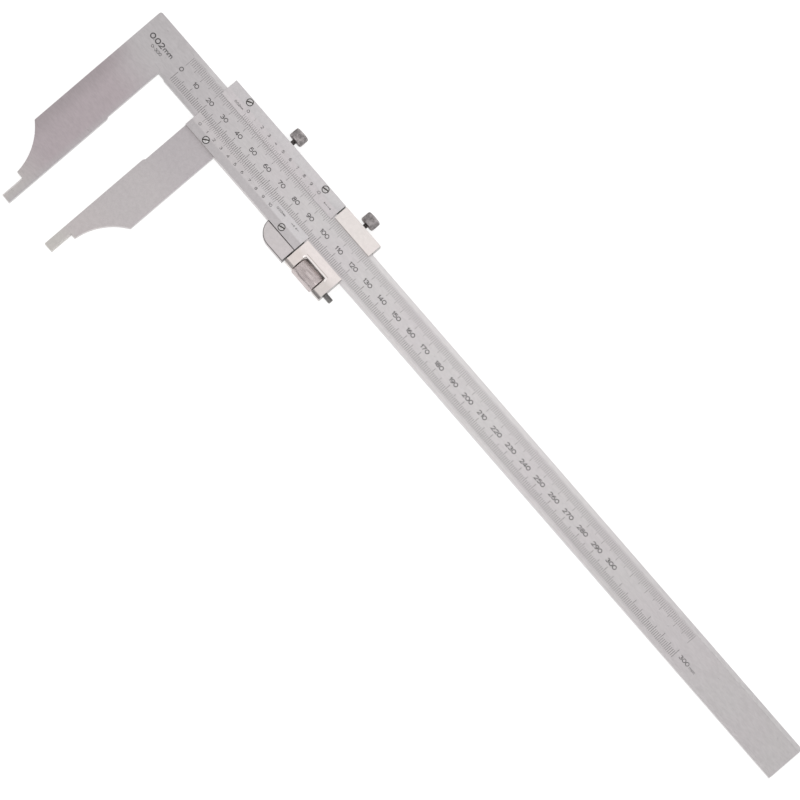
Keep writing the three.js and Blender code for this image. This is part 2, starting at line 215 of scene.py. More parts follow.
# One colour that gives way to a second one along a fade.
Gradient = namedtuple("Gradient", "fade first second")


class Zone:
    """A part of a piece whose finish differs, found where all of its fades are complete.

    A fade is an axis of the drawing, the place where the zone starts and the place where it is
    complete. share is how much of the colour is laid on, and roughening is added to the roughness.
    """

    def __init__(self, colour, *fades, share=1.0, roughening=0.0):
        self.colour = colour
        self.fades = fades
        self.share = share
        self.roughening = roughening


class Surface:
    """A node material: a Principled shader, and short calls that add nodes to feed it."""

    def __init__(self, name, metallic=1.0):
        self.material = bpy.data.materials.new(name)
        self.material.use_nodes = True
        self.tree = self.material.node_tree
        self.shader = self.tree.nodes["Principled BSDF"]
        self.shader.inputs["Metallic"].default_value = metallic
        self.place = self.add("ShaderNodeTexCoord").outputs["Object"]
        self.axes = {}

    def add(self, kind, **inputs):
        node = self.tree.nodes.new(kind)
        for name, value in inputs.items():
            self.feed(node.inputs[name.replace("_", " ")], value)
        return node

    def feed(self, socket, value):
        if isinstance(value, bpy.types.NodeSocket):
            self.tree.links.new(value, socket)
        else:
            socket.default_value = value

    def noise(self, per_mm, detail=3.0, stretch=(1.0, 1.0, 1.0)):
        """Noise from 0 to 1 with this many features a millimetre, drawn out where stretch is small."""
        scaled = self.add("ShaderNodeMapping", Vector=self.place)
        scaled.inputs["Scale"].default_value = [s / MM for s in stretch]
        node = self.add("ShaderNodeTexNoise", Vector=scaled.outputs[0], Scale=per_mm, Detail=detail)
        return node.outputs["Fac"]

    def remap(self, value, low, high, to_low=0.0, to_high=1.0):
        """A soft step, from one level where the value is low to another where it is high."""
        node = self.add("ShaderNodeMapRange", Value=value)
        node.interpolation_type = "SMOOTHSTEP"
        limits = {"From Min": low, "From Max": high, "To Min": to_low, "To Max": to_high}
        for name, limit in limits.items():
            node.inputs[name].default_value = limit
        return node.outputs["Result"]

    def math(self, operation, a, b):
        node = self.add("ShaderNodeMath")
        node.operation = operation
        self.feed(node.inputs[0], a)
        self.feed(node.inputs[1], b)
        return node.outputs[0]

    def blend(self, share, a, b, mode="MIX"):
        node = self.add("ShaderNodeMix")
        node.data_type = "RGBA"
        node.blend_type = mode
        self.feed(node.inputs["Factor"], share)
        self.feed(node.inputs[6], a)
        self.feed(node.inputs[7], b)
        return node.outputs[2]

    def along(self, axis):
        """The drawing's own coordinate along X, Y or Z, in millimetres."""
        if axis not in self.axes:
            index = "XYZ".index(axis)
            parts = self.add("ShaderNodeSeparateXYZ", Vector=self.place)
            from_origin = self.math("SUBTRACT", parts.outputs[index], drawing_origin[index])
            self.axes[axis] = self.math("MULTIPLY", from_origin, 1.0 / MM)
        return self.axes[axis]

    def fade(self, axis, start, complete):
        """0 at one place along an axis of the drawing, and 1 at the other."""
        return self.remap(self.along(axis), start, complete)

    def coloured(self, colour):
        """A plain colour as it is, or a gradient as the colour it has at each place."""
        if not isinstance(colour, Gradient):
            return colour
        first, second = self.coloured(colour.first), self.coloured(colour.second)
        return self.blend(self.fade(*colour.fade), first, second)

    def extent(self, zone):
        """1 inside a zone and 0 outside it."""
        inside = 1.0
        for fade in zone.fades:
            inside = self.math("MULTIPLY", inside, self.fade(*fade))
        return inside

    def edge(self, reach):
        """1 on edges and corners, within this many millimetres, and 0 on flat faces."""
        rounded = self.add("ShaderNodeBevel", Radius=reach * MM)
        rounded.samples = GATHER_SAMPLES
        flat = self.add("ShaderNodeNewGeometry").outputs["Normal"]
        node = self.add("ShaderNodeVectorMath")
        node.operation = "DOT_PRODUCT"
        self.feed(node.inputs[0], rounded.outputs[0])
        self.feed(node.inputs[1], flat)
        return self.remap(node.outputs["Value"], *TURN_RANGE)

    def crevice(self, reach):
        """1 deep in narrow gaps and grooves, within this many millimetres, and 0 in the open."""
        node = self.add("ShaderNodeAmbientOcclusion", Distance=reach * MM)
        node.samples = GATHER_SAMPLES
        return self.remap(node.outputs["AO"], *OPEN_RANGE)

    def bump(self, height, strength, distance):
        node = self.add("ShaderNodeBump", Height=height, Strength=strength, Distance=distance * MM)
        self.feed(self.shader.inputs["Normal"], node.outputs[0])

    def finish(self, colour, roughness):
        self.feed(self.shader.inputs["Base Color"], colour)
        self.feed(self.shader.inputs["Roughness"], roughness)
        return self.material


def machined_metal(
    name, colour, drift, roughness, grain=0.05, mottle=0.03, brushed=(1.0, 1.0, 1.0), zones=(),
    bump=0.25, gaps=0.2,
):
    """Satin or ground metal: slow colour drift, grain, faint scratches, bright edges, painted shade in
    grooves.

    drift is a second colour that the first one wanders to. grain and mottle are the shares by
    which fine and coarser noise lighten and darken the colour. brushed draws the grain out along
    an axis. zones are laid over the colour in their order. gaps is how near two surfaces have to
    be for painted shade to darken the gap between them.
    """
    surface = Surface(name)
    cloud = surface.remap(surface.noise(**CLOUD), *CLOUD_RANGE)
    shade = surface.blend(cloud, colour, drift)
    for zone in zones:
        inside = surface.extent(zone)
        laid_on = surface.math("MULTIPLY", inside, zone.share)
        shade = surface.blend(laid_on, shade, surface.coloured(zone.colour))
        if zone.roughening:
            change = surface.remap(inside, 0.0, 1.0, 0.0, zone.roughening)
            roughness = surface.math("ADD", roughness, change)
    fine = surface.noise(**FINE, stretch=brushed)
    coarse = surface.noise(**COARSE, stretch=brushed)
    for noise, share in ((fine, grain), (coarse, mottle)):
        level = surface.remap(noise, *GRAIN_RANGE, 1.0 - share, 1.0 + share)
        grey = surface.add("ShaderNodeCombineColor", Red=level, Green=level, Blue=level)
        shade = surface.blend(1.0, shade, grey.outputs[0], mode="MULTIPLY")
    worn = surface.edge(WORN_EDGE["reach"])
    shade = surface.blend(surface.math("MULTIPLY", worn, WORN_EDGE["share"]), shade, WORN)
    # Painted shade: ambient occlusion darkens narrow gaps, grooves and slots.
    shade = surface.blend(surface.crevice(gaps), shade, CREVICE_SHADE)
    scratches = surface.remap(surface.noise(**SCRATCHES), *SCRATCH_RANGE)
    polish = surface.math("MULTIPLY", surface.math("MAXIMUM", worn, scratches), WORN_EDGE["polish"])
    spread = surface.remap(fine, *SPREAD_RANGE, -SPREAD, SPREAD)
    rough = surface.math("SUBTRACT", surface.math("ADD", roughness, spread), polish)
    pits = surface.math("MULTIPLY", surface.noise(**PITS), PIT_SHARE)
    surface.bump(surface.math("ADD", fine, pits), bump, BUMP_HEIGHT)
    return surface.finish(shade, rough)


def ground_steel():
    """The beam. Its jaw is pinker and duller, and two bands beside the strip are polished."""
    colour, drift = rgb(0.575, 0.55, 0.558), rgb(0.575, 0.56, 0.56)
    towards_head = ("X", 60.0, 5.0)
    on_jaw = ("Y", -4.0, -32.0)
    on_nib = ("Y", -70.0, -95.0)
    by_outer_edge = ("X", -12.0, -20.5)
    above_strip = ("Y", STRIP["high"], STRIP["high"] + 0.1)
    below_strip = ("Y", STRIP["low"], STRIP["low"] - 0.1)
    past_zero = ("X", STRIP["left"], 20.0)
    past_throat = ("X", 20.0, 60.0)
    in_throat = (("X", 26.0, 20.0), ("X", -4.0, 2.0))
    polished = rgb(0.72, 0.71, 0.71)
    zones = (
        Zone(rgb(0.54, 0.52, 0.527), towards_head),
        Zone(rgb(0.478, 0.424, 0.444), on_jaw),
        Zone(rgb(0.546, 0.522, 0.512), on_nib),
        Zone(rgb(0.42, 0.375, 0.39), on_jaw, by_outer_edge),
        Zone(polished, above_strip, past_zero, share=0.41, roughening=-0.03),
        Zone(polished, below_strip, past_throat, share=0.2, roughening=-0.03),
        Zone(rgb(0.50, 0.485, 0.49), below_strip, *in_throat),
    )
    return machined_metal(
        "ground_steel", colour, drift, 0.42, mottle=0.02, brushed=(0.25, 1.0, 1.0), zones=zones,
    )


def satin_chrome():
    """The slider. Its jaw is duller by the root and its nib warmer.

    The right end and the rounded front edge of the thumb rest are painted dark as shade.
    """
    colour, drift = rgb(0.58, 0.545, 0.55), rgb(0.57, 0.545, 0.545)
    by_root = Gradient(("Y", -28.0, -50.0), rgb(0.50, 0.472, 0.484), rgb(0.535, 0.507, 0.512))
    whole_jaw = Gradient(("Y", -60.0, -82.0), by_root, rgb(0.552, 0.517, 0.518))
    on_jaw = (("Y", -15.7, -16.5), ("X", 70.0, 60.0))
    on_nib = ("Y", -84.0, -95.0)
    shaded_right_end = ("X", SLIDER_END - 0.2, SLIDER_END - 0.1)
    on_rest = (("X", 80.0, REST["left"]), ("Y", REST["top"] - 0.25, REST["top"] - 0.6))
    behind_front = (
        ("Z", REST["front"] - 0.02, REST["front"] - 0.14),
        ("Z", REST["front"] - 1.4, REST["front"] - 0.8),
    )
    zones = (
        Zone(whole_jaw, *on_jaw),
        Zone(rgb(0.57, 0.553, 0.529), on_nib),
        # Painted shade on the right end face, in the gap before the carriage.
        Zone(rgb(0.15, 0.14, 0.14), shaded_right_end),
        # Painted shade on the thumb rest's rounded front edge.
        Zone(rgb(0.10, 0.094, 0.094), *on_rest, *behind_front),
    )
    return machined_metal("satin_chrome", colour, drift, 0.45, zones=zones)


def plate_chrome():
    """The vernier plates. The lower one is duller, most of all on its flat and to the left."""
    colour, drift = rgb(0.60, 0.575, 0.585), rgb(0.58, 0.57, 0.575)
    lower_bevel = Gradient(("X", 50.0, 97.0), rgb(0.59, 0.565, 0.57), rgb(0.645, 0.63, 0.64))
    off_upper_flat = ("Y", 11.0, 10.2)
    on_lower_plate = ("Y", 0.0, -1.0)
    on_lower_flat = ("Y", -11.2, -12.2)
    zones = (
        Zone(rgb(0.64, 0.61, 0.62), off_upper_flat),
        Zone(lower_bevel, on_lower_plate),
        Zone(rgb(0.495, 0.475, 0.482), on_lower_flat),
    )
    return machined_metal("plate_chrome", colour, drift, 0.42, zones=zones)


def bright_satin():
    """The carriage. Its legs are duller, and the chamfer at its foot is painted dark as shade.

    The window's lip and the wall below it are painted bright as a highlight, with a thin line of painted
    shade above the lip.
    """
    colour, drift = rgb(0.735, 0.68, 0.665), rgb(0.705, 0.665, 0.645)
    legs = Gradient(("X", 106.0, 122.0), rgb(0.66, 0.605, 0.58), rgb(0.60, 0.56, 0.54))
    on_legs = ("Y", -11.5, -15.5)
    lip_highlight = (
        ("Y", WINDOW["lip_foot"] - 0.1, WINDOW["lip_foot"] + 0.1),
        ("Y", LIP_TOP + 0.05, LIP_TOP - 0.1),
        ("Z", CARRIAGE_FRONT, CARRIAGE_FRONT - 0.04),
    )
    shade_above_lip = (("Y", LIP_TOP - 0.05, LIP_TOP + 0.1), ("Y", LIP_TOP + 0.4, LIP_TOP + 0.2))
    as_wide = (("X", WINDOW["left"] - 0.6, WINDOW["left"]), ("X", WINDOW["right"] + 0.6, WINDOW["right"]))
    shaded_right_end = ("X", CARRIAGE_END - 0.12, CARRIAGE_END)
    chamfer_shade = Gradient(("X", 104.0, 124.0), rgb(0.48, 0.44, 0.425), rgb(0.31, 0.29, 0.285))
    on_chamfer = (("Y", -20.5, -21.5), ("Z", 7.4, 7.6))
    zones = (
        Zone(legs, on_legs),
        # Painted highlight on the window's lip and the wall below it.
        Zone(rgb(0.93, 0.89, 0.87), *lip_highlight, roughening=-0.01),
        # Painted shade in a thin line along the top of the lip.
        Zone(rgb(0.47, 0.42, 0.405), *shade_above_lip, *as_wide),
        # Painted shade on the right end face.
        Zone(rgb(0.34, 0.32, 0.31), shaded_right_end),
        # Painted shade on the chamfer at the foot, darker to the right.
        Zone(chamfer_shade, *on_chamfer),
    )
    return machined_metal("bright_satin", colour, drift, 0.36, grain=0.03, zones=zones)


def knurled_bright_steel():
    """The feed nut."""
    colour, drift = rgb(0.585, 0.52, 0.51), rgb(0.545, 0.485, 0.485)
    return machined_metal(
        "knurled_bright_steel", colour, drift, 0.24, brushed=(0.1, 1.0, 1.0), bump=0.1, gaps=0.1,
    )


def knurled_dark_steel():
    """The clamp screws' heads."""
    colour, drift = rgb(0.37, 0.345, 0.345), rgb(0.30, 0.28, 0.28)
    return machined_metal("knurled_dark_steel", colour, drift, 0.4, grain=0.15, mottle=0.4, gaps=0.4)


def polished_steel():
    """The plate screws. Painted shade darkens the slot and the rim, both low on the head."""
    colour, drift = rgb(0.58, 0.57, 0.57), rgb(0.50, 0.49, 0.49)
    low_on_head = ("Z", 9.7, 9.5)
    # Painted shade in the slot and round the rim.
    zones = (Zone(rgb(0.06, 0.055, 0.052), low_on_head),)
    return machined_metal("polished_steel", colour, drift, 0.14, zones=zones, bump=0.08, gaps=0.5)


def thread_steel():
    """The feed screw, a lighter blackened steel, rubbed by the nut."""
    colour, drift = rgb(0.29, 0.285, 0.28), rgb(0.245, 0.24, 0.235)
    return machined_metal("thread_steel", colour, drift, 0.35, grain=0.15, mottle=0.1)


def blackened_steel():
    """The clamp screws' threads, painted dark as the shade round their necks, and the hidden screws."""
    colour, drift = rgb(0.155, 0.145, 0.142), rgb(0.115, 0.108, 0.105)
    return machined_metal("blackened_steel", colour, drift, 0.45, grain=0.15, mottle=0.1)


def bronze():
    """The gibs."""
    colour, drift = rgb(0.56, 0.36, 0.17), rgb(0.42, 0.26, 0.13)
    return machined_metal("bronze", colour, drift, 0.42, grain=0.1, brushed=(0.2, 1.0, 1.0))


def graduation_ink():
    """Black fill, thinner in places, so that it isn't the same black all along a line."""
    surface = Surface("graduation_ink", metallic=0.0)
    wear = surface.remap(surface.noise(1.5, detail=4.0), 0.3, 0.75)
    shade = surface.blend(wear, rgb(0.035, 0.032, 0.033), rgb(0.10, 0.095, 0.095))
    surface.bump(surface.noise(12.0), 0.2, 0.005)
    return surface.finish(shade, surface.remap(wear, 0.0, 1.0, 0.55, 0.75))


def studio_floor():
    """Grey paper with a glow of its own, so that it looks white and shadows on it are faint."""
    surface = Surface("studio_floor", metallic=0.0)
    paper = surface.noise(0.4, detail=4.0)
    shade = surface.blend(paper, rgb(0.42, 0.42, 0.42), rgb(0.45, 0.45, 0.45))
    surface.bump(paper, 0.05, 0.05)
    surface.feed(surface.shader.inputs["Emission Color"], rgb(1.0, 1.0, 1.0))
    surface.feed(surface.shader.inputs["Emission Strength"], FLOOR["glow"])
    return surface.finish(shade, 0.9)


finishes = {make.__name__: make() for make in (
    ground_steel, satin_chrome, plate_chrome, bright_satin, knurled_bright_steel,
    knurled_dark_steel, polished_steel, thread_steel, blackened_steel, bronze, graduation_ink,
)}

# ---------------------------------------------------------------- pieces


def linked(name, data):
    """A new object in the scene."""
    thing = bpy.data.objects.new(name, data)
    bpy.context.scene.collection.objects.link(thing)
    return thing


def as_piece(name, mesh, finish, body, stands_for=()):
    """A mesh already in the row frame becomes a smooth-shaded piece that rides on a body."""
    mesh.shade_smooth()
    piece = linked(name, mesh)
    piece.data.materials.clear()
    piece.data.materials.append(finishes[finish])
    normals = piece.modifiers.new("weighted normals", "WEIGHTED_NORMAL")
    normals.keep_sharp = True
    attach(piece, body)
    if stands_for:
        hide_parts(*stands_for)
    return piece


def mesh_from(bm, name, crease=CREASED_FROM):
    """A finished mesh, smoothed but for the edges that are steeper than the crease in degrees."""
    bmesh.ops.recalc_face_normals(bm, faces=bm.faces)
    mesh = bpy.data.meshes.new(name)
    bm.to_mesh(mesh)
    bm.free()
    mesh.set_sharp_from_angle(angle=math.radians(crease))
    return mesh


def roomy(edge, width):
    """True if both faces beside this edge are wide enough to give way to an eased edge."""
    return all(face.calc_area() / edge.calc_length() > ROOM_BESIDE * width for face in edge.link_faces)


def sharp_edges(bm):
    """The edges steep enough to be eased."""
    return [e for e in bm.edges if e.is_manifold and e.calc_face_angle() > math.radians(EASED_FROM)]


def ease(bm, edges, width, segments=EASED_SEGMENTS):
    bmesh.ops.bevel(
        bm, geom=edges, offset=width * MM, segments=segments, profile=0.5, affect="EDGES",
        clamp_overlap=True,
    )


def on_rest_front(edge):
    """True for the curved and lower edges of the thumb rest's front face."""
    x, y, z = drawing_point((edge.verts[0].co + edge.verts[1].co) / 2)
    return REST["left"] < x < REST["right"] and y < REST["top"] and z > REST["front"] - CLOSE


def beside_plate(edge):
    """True for the thumb rest's upper front edge, which fits close against the lower plate."""
    ends = [drawing_point(vert.co) for vert in edge.verts]
    low, high = sorted(end.y for end in ends)
    front = min(end.z for end in ends)
    level = high - low < CLOSE / 5
    return level and abs(high - REST["top"]) < 2 * CLOSE and front > REST["front"] - CLOSE


def machined_piece(node, finish, body, crease=CREASED_FROM):
    """A CAD node's own shape, with its sharp edges eased."""
    width = EASED_EDGE[node]
    bm = bmesh.new()
    bm.from_mesh(frame["nodes"][node].data)
    bmesh.ops.remove_doubles(bm, verts=bm.verts, dist=SAME_CORNER * MM)
    bmesh.ops.dissolve_limit(bm, angle_limit=math.radians(SAME_PLANE), verts=bm.verts, edges=bm.edges)
    if node == "slider_body":
        ease(bm, [e for e in sharp_edges(bm) if on_rest_front(e)], REST["rounding"], REST["segments"])
    ease(bm, [e for e in sharp_edges(bm) if roomy(e, width * MM) and not beside_plate(e)], width)
    return as_piece(node + "_finished", mesh_from(bm, node, crease), finish, body, (node,))


def rings_about(bm, profile, columns, place, relief=None):
    """A ring of corners for each (distance along, radius) of a profile, about a shape's own Z axis.

    relief(angle, along, radius) gives the radius where a knurl or a thread cuts in.
    """
    rings = []
    for along, radius in profile:
        ring = []
        for column in range(columns):
            angle = 2 * math.pi * column / columns
            r = relief(angle, along, radius) if relief else radius
            ring.append(bm.verts.new(place @ Vector((r * math.cos(angle), r * math.sin(angle), along))))
        rings.append(ring)
    return rings


def join_rings(bm, rings):
    """Faces between each ring and the next one."""
    for lower, upper in zip(rings, rings[1:]):
        for i in range(len(lower)):
            j = (i + 1) % len(lower)
            bm.faces.new((lower[i], lower[j], upper[j], upper[i]))


def turned(bm, profile, columns, place, relief=None):
    """A closed turned solid. The profile's two ends lie on the axis."""
    rings = rings_about(bm, profile[1:-1], columns, place, relief)
    join_rings(bm, rings)
    for (along, _), ring in ((profile[0], rings[0]), (profile[-1], rings[-1])):
        tip = bm.verts.new(place @ Vector((0, 0, along)))
        for i in range(columns):
            bm.faces.new((tip, ring[i], ring[(i + 1) % columns]))


def spindle(direction, x, y, z):
    """The matrix that takes a shape about Z to this direction and place, and to metres."""
    turn = Vector((0, 0, 1)).rotation_difference(Vector(direction)).to_matrix().to_4x4()
    return Matrix.Translation(row_point(x, y, z)) @ turn @ Matrix.Scale(MM, 4)


def triangle_wave(turns):
    """0 at whole turns and 1 at half turns, in straight lines."""
    return 1 - abs(2 * (turns % 1.0) - 1)


def diamond_knurl(radius, pitch, low, high):
    """Two crossing families of grooves, between two heights on the head."""
    teeth, depth = THUMB_KNURL["teeth"], THUMB_KNURL["depth"]

    def relief(angle, along, r):
        if not low <= along <= high:
            return r
        around = teeth * angle / (2 * math.pi)
        rise = min(triangle_wave(around + along / pitch), triangle_wave(around - along / pitch))
        return r - depth * (1 - rise)

    return relief


def straight_knurl(radius):
    """Narrow grooves along the nut, cut only into its outer surface."""
    teeth, depth, columns = (NUT_KNURL[name] for name in ("teeth", "depth", "columns_per_tooth"))

    def relief(angle, along, r):
        if r < radius - NUT["chamfer"] - depth:
            return r
        from_groove = abs((teeth * angle / (2 * math.pi) + 0.5) % 1.0 - 0.5)
        groove = max(0.0, 1.0 - columns * from_groove)
        return min(r, radius - depth * groove)

    return relief


def screw_thread(thread, start, end):
    """A right-hand thread between two places along the rod, with chamfered ends."""

    def relief(angle, along, r):
        if not start <= along <= end:
            return r
        groove = triangle_wave(along / thread["pitch"] - angle / (2 * math.pi))
        from_end = min(along - start, end - along)
        return min(r - thread["depth"] * groove, r - max(0.0, thread["chamfer"] - from_end))

    return relief


def rows_between(low, high, step):
    """Evenly spaced places from low to high, about a step apart."""
    count = max(1, round((high - low) / step))
    return [low + (high - low) * i / count for i in range(count + 1)]


def threaded_rod(name, thread, radius, start, length, place):
    """A rod that is plain up to where its thread starts."""
    rows = rows_between(start, length, thread["pitch"] / THREAD_ROWS_PER_TURN)
    plain = [(0.0, radius)] if start > 0 else []
    profile = [(0.0, 0.0)] + plain + [(along, radius) for along in rows] + [(length, 0.0)]
    bm = bmesh.new()
    turned(bm, profile, thread["columns"], place, screw_thread(thread, start, length))
    return mesh_from(bm, name)


def head_profile(radius, row_step):
    """A clamp screw's head, with both its corners rounded."""
    length, corner, steps = (THUMB_HEAD[name] for name in ("length", "corner", "corner_steps"))
    turns = [math.pi / 2 * i / steps for i in range(steps + 1)]
    low_corner = [(corner * (1 - math.cos(t)), radius - corner * (1 - math.sin(t))) for t in turns]
    side = [(along, radius) for along in rows_between(corner, length - corner, row_step)[1:-1]]
    high_corner = [(length - along, r) for along, r in reversed(low_corner)]
    foot = [(0.0, 0.0), (0.0, CLAMP_THREAD["radius"])]
    return foot + low_corner + side + high_corner + [(length, 0.0)]


def thumb_screw(node, body):
    """A clamp screw: a diamond-knurled head with rounded corners, on a threaded shank painted dark as
    shade.
    """
    low, high = drawing_box(node)
    x, z = (low.x + high.x) / 2, (low.z + high.z) / 2
    radius = (high.x - low.x) / 2
    head_low = high.y - THUMB_HEAD["length"]
    pitch = 2 * math.pi * radius / THUMB_KNURL["teeth"]
    knurl_low, knurl_high = THUMB_HEAD["plain_end"], THUMB_HEAD["length"] - THUMB_HEAD["plain_end"]
    profile = head_profile(radius, pitch / THUMB_KNURL["rows_per_tooth"])
    columns = THUMB_KNURL["columns_per_tooth"] * THUMB_KNURL["teeth"]
    relief = diamond_knurl(radius, pitch, knurl_low, knurl_high)
    bm = bmesh.new()
    turned(bm, profile, columns, spindle((0, 1, 0), x, head_low, z), relief)
    head = mesh_from(bm, node + "_head")
    as_piece(node + "_head", head, "knurled_dark_steel", body, (node,))

    place = spindle((0, 1, 0), x, low.y, z)
    radius, length = CLAMP_THREAD["radius"], head_low - low.y
    shank = threaded_rod(node + "_shank", CLAMP_THREAD, radius, 0.0, length, place)
    # The shank is painted dark as shade.
    as_piece(node + "_shank", shank, "blackened_steel", body)


def feed_nut():
    """A nut with narrow grooves along it, chamfered ends and a bore for the feed screw."""
    low, high = drawing_box("feed_nut")
    y, z = (low.y + high.y) / 2, (low.z + high.z) / 2
    radius, length = (high.z - low.z) / 2, high.x - low.x
    chamfer, bore = NUT["chamfer"], NUT["bore"]
    half = chamfer / 2
    near_end = [(0.0, bore), (0.0, radius - chamfer), (half, radius - half), (chamfer, radius)]
    far_end = [(length - along, r) for along, r in reversed(near_end)]
    profile = near_end + [(length / 2, radius)] + far_end
    columns = NUT_KNURL["columns_per_tooth"] * NUT_KNURL["teeth"]
    bm = bmesh.new()
    rings = rings_about(bm, profile, columns, spindle((1, 0, 0), low.x, y, z), straight_knurl(radius))
    join_rings(bm, rings + rings[:1])
    mesh = mesh_from(bm, "knurled_feed_nut", crease=NUT["creased_from"])
    as_piece("knurled_feed_nut", mesh, "knurled_bright_steel", "feed_nut", ("feed_nut",))


def feed_screw():
    """A rod, plain where the thumb rest holds it and threaded where the nut runs."""
    low, high = drawing_box("feed_screw")
    y, z = (low.y + high.y) / 2, (low.z + high.z) / 2
    radius, length = (high.z - low.z) / 2, high.x - low.x
    place = spindle((1, 0, 0), low.x, y, z)
    start = FEED_THREAD["start"] - low.x
    mesh = threaded_rod("threaded_feed_screw", FEED_THREAD, radius, start, length, place)
    as_piece("threaded_feed_screw", mesh, "thread_steel", "slider", ("feed_screw",))


def domed_blank(name, place):
    """A plate screw's head before it is slotted."""
    radius, rise, rows = SCREW_HEAD["radius"], SCREW_HEAD["rise"], SCREW_HEAD["rows"]
    crown = rise - SCREW_HEAD["rim"]
    dome = (radius ** 2 + crown ** 2) / (2 * crown)
    profile = [(0.0, 0.0), (0.0, radius)]
    for i in range(rows):
        angle = math.asin(radius / dome) * (1 - i / rows)
        profile.append((rise - dome * (1 - math.cos(angle)), dome * math.sin(angle)))
    profile.append((rise, 0.0))
    bm = bmesh.new()
    turned(bm, profile, SCREW_HEAD["columns"], place)
    return linked(name, mesh_from(bm, name))


def slot_cutter(name, place, degrees):
    """A block that cuts a slot across a head whose top is at this place."""
    bm = bmesh.new()
    bmesh.ops.create_cube(bm, size=1.0)
    size = Matrix.Diagonal((3 * SCREW_HEAD["radius"], SCREW_SLOT["width"], 2 * SCREW_SLOT["depth"], 1.0))
    bm.transform(place @ Matrix.Rotation(math.radians(degrees), 4, "Z") @ size)
    return linked(name, mesh_from(bm, name))


def plate_screw(node):
    """A polished screw with a domed head, its slot left at its own angle."""
    low, high = drawing_box(node)
    x, y = (low.x + high.x) / 2, (low.y + high.y) / 2
    head = domed_blank(node + "_blank", spindle((0, 0, 1), x, y, high.z - SCREW_HEAD["rise"]))
    cutter = slot_cutter(node + "_slot", spindle((0, 0, 1), x, y, high.z), SCREW_SLOT_TURN[node])
    cut = head.modifiers.new("slot", "BOOLEAN")
    cut.object = cutter
    cut.operation = "DIFFERENCE"
    eased = head.modifiers.new("eased slot", "BEVEL")
    eased.width = SCREW_SLOT["ease"] * MM
    eased.segments = 2
    eased.limit_method = "ANGLE"
    eased.angle_limit = math.radians(SCREW_SLOT["ease_from"])
    graph = bpy.context.evaluated_depsgraph_get()
    mesh = bpy.data.meshes.new_from_object(head.evaluated_get(graph))
    bpy.data.objects.remove(head)
    bpy.data.objects.remove(cutter)
    as_piece(node + "_head", mesh, "polished_steel", "slider", (node,))


def finish_hidden_pieces():
    """The pieces inside keep their CAD shapes, and only take a finish."""
    hidden = {
        "bronze": ("slider_gib", "carriage_gib"),
        "blackened_steel": (
            "left_gib_pressing_screw", "right_gib_pressing_screw",
            "left_gib_setting_screw", "right_gib_setting_screw", "feed_screw_pin",
        ),
    }
    for finish, nodes in hidden.items():
        for node in nodes:
            materials = frame["nodes"][node].data.materials
            materials.clear()
            materials.append(finishes[finish])


# ---------------------------------------------------------------- graduations and numerals

# Characters are drawn in a square with its corner at 0, 0 and its height 1.
LETTER_GAP = 0.24
SAME_PLACE = 1e-6
SHARPEST_MITRE = 0.45


class Inlay:
    """Thin ink-filled lines lying in a surface, drawn with strokes in the drawing's X and Y."""

    def __init__(self, height_at):
        self.height_at = height_at
        self.bm = bmesh.new()

    def corner(self, x, y, lift):
        return self.bm.verts.new(row_point(x, y, self.height_at(x, y) + lift))

    def stroke(self, points, width):
        """A line of this width through the points. It closes on itself if its ends meet."""
        closed = len(points) > 3 and math.dist(points[0], points[-1]) < SAME_PLACE
        if closed:
            points = points[:-1]
        count = len(points)
        sections = []
        for i, (x, y) in enumerate(points):
            before = points[i - 1] if closed or i > 0 else None
            after = points[(i + 1) % count] if closed or i < count - 1 else None
            sx, sy = side_step(before, (x, y), after, width / 2)
            sections.append([
                self.corner(x + sx, y + sy, INK_PROUD), self.corner(x - sx, y - sy, INK_PROUD),
                self.corner(x - sx, y - sy, -INK_DEEP), self.corner(x + sx, y + sy, -INK_DEEP),
            ])
        following = sections[1:] + sections[:1] if closed else sections[1:]
        for a, b in zip(sections, following):
            for i in range(4):
                j = (i + 1) % 4
                self.bm.faces.new((a[i], a[j], b[j], b[i]))
        if not closed:
            self.bm.faces.new(sections[0])
            self.bm.faces.new(reversed(sections[-1]))

    def text(self, words, x, y, height, width):
        """Words centred on x and y."""
        length = sum(advance(c) for c in words) - LETTER_GAP
        left = x - length * height / 2
        for character in words:
            for stroke in GLYPHS[character]:
                self.stroke([(left + u * height, y + (v - 0.5) * height) for u, v in stroke], width)
            left += advance(character) * height

    def piece(self, name, body):
        return as_piece(name, mesh_from(self.bm, name), "graduation_ink", body)


def side_step(before, here, after, half):
    """How far the edge of a line lies to the left of its middle, mitred at a bend."""
    directions = []
    for a, b in ((before, here), (here, after)):
        if a and b:
            length = math.dist(a, b)
            directions.append(((b[0] - a[0]) / length, (b[1] - a[1]) / length))
    dx = sum(d[0] for d in directions)
    dy = sum(d[1] for d in directions)
    length = math.hypot(dx, dy)
    dx, dy = dx / length, dy / length
    straightness = dx * directions[0][0] + dy * directions[0][1]
    reach = half / max(straightness, SHARPEST_MITRE)
    return -dy * reach, dx * reach


def bow(x, y, across, up, start, end, steps=12):
    """Part of an ellipse from one angle to another, in degrees, anticlockwise if end is larger."""
    turns = [math.radians(start + (end - start) * i / steps) for i in range(steps + 1)]
    return [(x + across * math.cos(t), y + up * math.sin(t)) for t in turns]


def hump(left):
    """One leg of the letter m with the arch that leads to it."""
    return bow(left + 0.25, 0.40, 0.25, 0.24, 180, 0, 8) + [(left + 0.5, 0.0)]


def turned_about(strokes, x, y):
    """The strokes turned half round, about a point."""
    return [[(2 * x - u, 2 * y - v) for u, v in stroke] for stroke in strokes]


